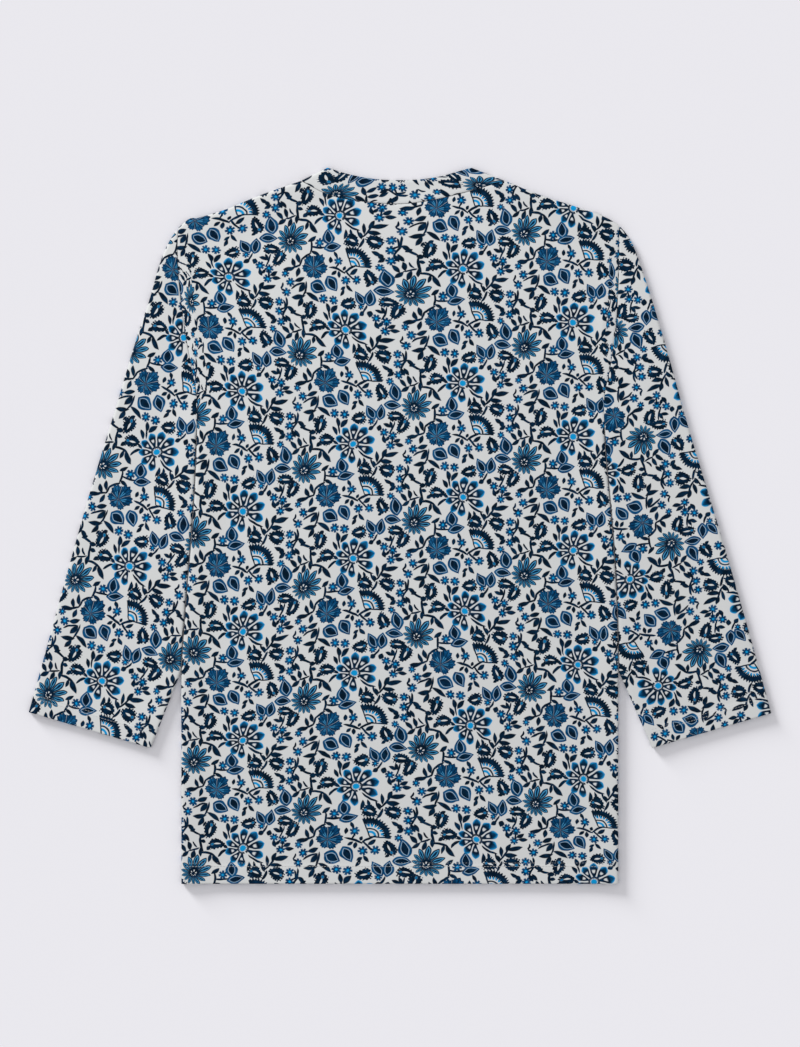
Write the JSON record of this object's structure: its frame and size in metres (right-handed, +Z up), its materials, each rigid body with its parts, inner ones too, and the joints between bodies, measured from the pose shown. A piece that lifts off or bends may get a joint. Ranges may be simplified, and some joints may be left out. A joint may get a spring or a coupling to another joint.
{
  "type": "mandarin collar top laid flat",
  "caption": "Straight-cut jersey top with a mandarin collar and set-in three-quarter sleeves, laid flat with its back upward.",
  "frame": {"origin": "middle of the footprint of the laid-out garment, on the surface that it lies on", "axes": "+X across the garment towards its right sleeve, +Y up its length to the collar, +Z up from the surface, out of its back"},
  "size_m": [0.7259, 0.7, 0.0056],
  "materials": {
    "printed_jersey": "matt off-white jersey with a fine crepe grain, printed all over with navy and blue flowers, leaves and paisleys"
  },
  "bodies": {
    "root": {"back": "printed_jersey", "front": "printed_jersey", "sleeve_left": "printed_jersey", "sleeve_right": "printed_jersey", "collar": "printed_jersey"}
  },
  "joints": []
}
